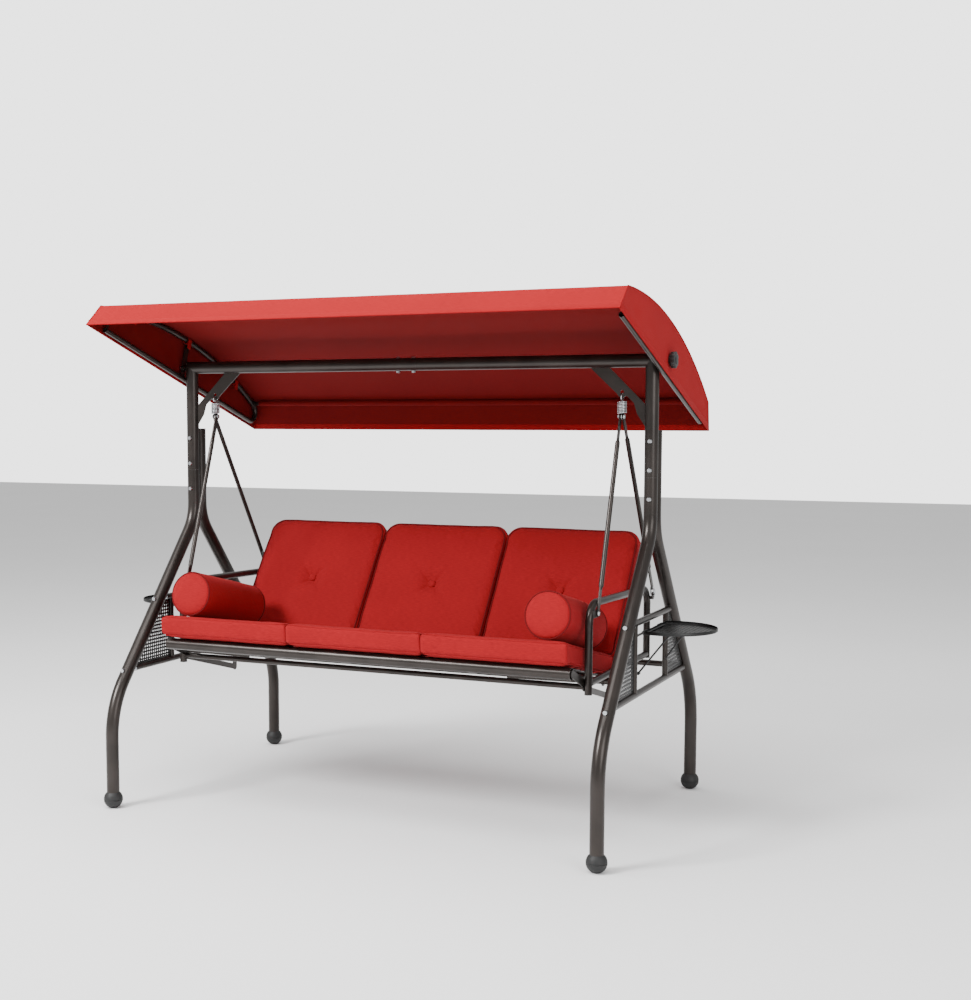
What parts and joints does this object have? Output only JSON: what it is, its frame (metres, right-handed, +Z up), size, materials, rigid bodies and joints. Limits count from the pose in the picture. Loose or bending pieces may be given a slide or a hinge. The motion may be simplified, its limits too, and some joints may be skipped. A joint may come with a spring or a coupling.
{
  "type": "glider swing",
  "caption": "Hanging garden bench for three on a tube stand, with a tilting fabric canopy, a reclining back, bolsters and fold-down side trays.",
  "frame": {"origin": "on the floor, midway between the four feet", "axes": "+X to the right across the bench, +Y from front to back, +Z up"},
  "size_m": [2.2212, 1.1848, 1.7564],
  "materials": {
    "bronze_paint": "satin dark bronze powder coat",
    "black_paint": "satin black powder coat",
    "black_rubber": "matt black",
    "black_plastic": "moulded black nylon",
    "zinc_steel": "bright zinc plated",
    "red_cushion_fabric": "woven polyester, red",
    "red_canopy_fabric": "coated woven polyester, red"
  },
  "bodies": {
    "stand": {"front_leg_left": "bronze_paint", "front_leg_right": "bronze_paint", "rear_leg_left": "bronze_paint", "rear_leg_right": "bronze_paint", "foot_caps": "black_rubber", "top_frame_left": "bronze_paint", "top_frame_right": "bronze_paint", "joint_sleeves": "zinc_steel", "gusset_left": "bronze_paint", "gusset_right": "bronze_paint", "side_frame_left": "bronze_paint", "side_frame_right": "bronze_paint", "side_screens_left": "bronze_paint", "side_screens_right": "bronze_paint", "rear_bar": "bronze_paint", "upright_bolts": "zinc_steel", "side_frame_bolts": "zinc_steel", "leg_plugs": "black_plastic"},
    "swing": {"spring_left": "zinc_steel", "spring_right": "zinc_steel"},
    "seat": {"front_rod_left": "bronze_paint", "front_rod_right": "bronze_paint", "rear_rod_left": "bronze_paint", "rear_rod_right": "bronze_paint", "hanger_bolts": "zinc_steel", "quick_links": "zinc_steel", "arm_frame_left": "bronze_paint", "arm_frame_right": "bronze_paint", "seat_side_plates": "bronze_paint", "front_rail": "bronze_paint", "rear_rail": "bronze_paint", "deck_bars": "bronze_paint", "deck_slats": "bronze_paint", "front_stretcher": "bronze_paint", "stretcher_braces": "bronze_paint", "recline_brackets": "bronze_paint", "recline_pins": "zinc_steel", "arm_plugs": "black_plastic", "seat_cushion_left": "red_cushion_fabric", "seat_cushion_middle": "red_cushion_fabric", "seat_cushion_right": "red_cushion_fabric", "bolster_left": "red_cushion_fabric", "bolster_right": "red_cushion_fabric"},
    "backrest": {"back_frame": "bronze_paint", "back_slats": "bronze_paint", "back_cushion_left": "red_cushion_fabric", "back_cushion_middle": "red_cushion_fabric", "back_cushion_right": "red_cushion_fabric"},
    "canopy": {"canopy_hoop_left": "bronze_paint", "canopy_hoop_right": "bronze_paint", "canopy_bars": "bronze_paint", "canopy_cover": "red_canopy_fabric"},
    "knob_left": {"knob_left": "black_plastic"},
    "knob_right": {"knob_right": "black_plastic"},
    "tray_left": {"tray_left": "bronze_paint"},
    "tray_right": {"tray_right": "bronze_paint"},
    "bail_left": {"tray_bail_left": "black_paint"},
    "bail_right": {"tray_bail_right": "black_paint"}
  },
  "joints": [
    {"name": "seat_swing", "type": "hinge", "parent": "stand", "child": "swing", "pos_m": [0, -0.02265, 1.45005], "axis": [1, 0, 0], "range_deg": [-15, 15]},
    {"name": "seat_bounce", "type": "slide", "parent": "swing", "child": "seat", "axis": [0, 0, 1], "range_m": [-0.02, 0], "stiffness_N_per_m": 40000, "springref_m": 0.03, "deforming": ["spring_left", "spring_right"]},
    {"name": "back_recline", "type": "hinge", "parent": "seat", "child": "backrest", "pos_m": [0, 0.11805, 0.50975], "axis": [1, 0, 0], "range_deg": [-35, 0]},
    {"name": "canopy_tilt", "type": "hinge", "parent": "stand", "child": "canopy", "pos_m": [0, -0.02265, 1.556], "axis": [1, 0, 0], "range_deg": [-26, 36]},
    {"name": "knob_left_turn", "type": "hinge", "parent": "stand", "child": "knob_left", "pos_m": [-0.95, -0.02265, 1.556], "axis": [-1, 0, 0], "continuous": true},
    {"name": "knob_right_turn", "type": "hinge", "parent": "stand", "child": "knob_right", "pos_m": [0.95, -0.02265, 1.556], "axis": [1, 0, 0], "continuous": true},
    {"name": "tray_left_fold", "type": "hinge", "parent": "stand", "child": "tray_left", "pos_m": [-0.896, 0, 0.672], "axis": [0, -1, 0], "range_deg": [0, 84]},
    {"name": "tray_right_fold", "type": "hinge", "parent": "stand", "child": "tray_right", "pos_m": [0.896, 0, 0.672], "axis": [0, 1, 0], "range_deg": [0, 84]},
    {"name": "bail_left_fold", "type": "hinge", "parent": "stand", "child": "bail_left", "pos_m": [-0.897, 0, 0.548], "axis": [0, -1, 0], "range_deg": [0, 138]},
    {"name": "bail_right_fold", "type": "hinge", "parent": "stand", "child": "bail_right", "pos_m": [0.897, 0, 0.548], "axis": [0, 1, 0], "range_deg": [0, 138]}
  ],
  "couplings": [
    {"joint": "bail_left_fold", "follows": "tray_left_fold", "ratio": 1.64},
    {"joint": "bail_right_fold", "follows": "tray_right_fold", "ratio": 1.64}
  ]
}
